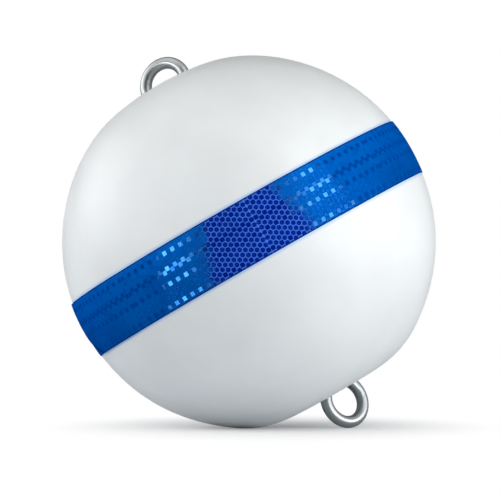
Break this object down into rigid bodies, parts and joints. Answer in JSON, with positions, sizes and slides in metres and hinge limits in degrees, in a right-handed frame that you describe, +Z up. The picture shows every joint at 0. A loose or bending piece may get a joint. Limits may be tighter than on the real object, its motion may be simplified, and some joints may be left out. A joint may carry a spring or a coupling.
{
  "type": "mooring buoy",
  "caption": "Round moulded mooring buoy on a steel through rod with an eye at each end, with a blue reflective band round its middle.",
  "frame": {"origin": "on the floor under the middle of the buoy as it lies at rest", "axes": "+Z up; the buoy's axis lies in the XZ plane and leans about 30 degrees from +Z, upper eye towards -X and lower eye towards +X"},
  "size_m": [0.3026, 0.3048, 0.3036],
  "materials": {
    "float_plastic": "white polyethylene, moulded, satin",
    "core_foam": "cream closed-cell foam, as cast",
    "rod_steel": "bright galvanised round bar",
    "band_tape": "blue reflective sheeting with a honeycomb of cells"
  },
  "bodies": {
    "root": {"float_shell": "float_plastic", "foam_core": "core_foam", "through_rod": "rod_steel", "reflective_tape": "band_tape"}
  },
  "joints": []
}
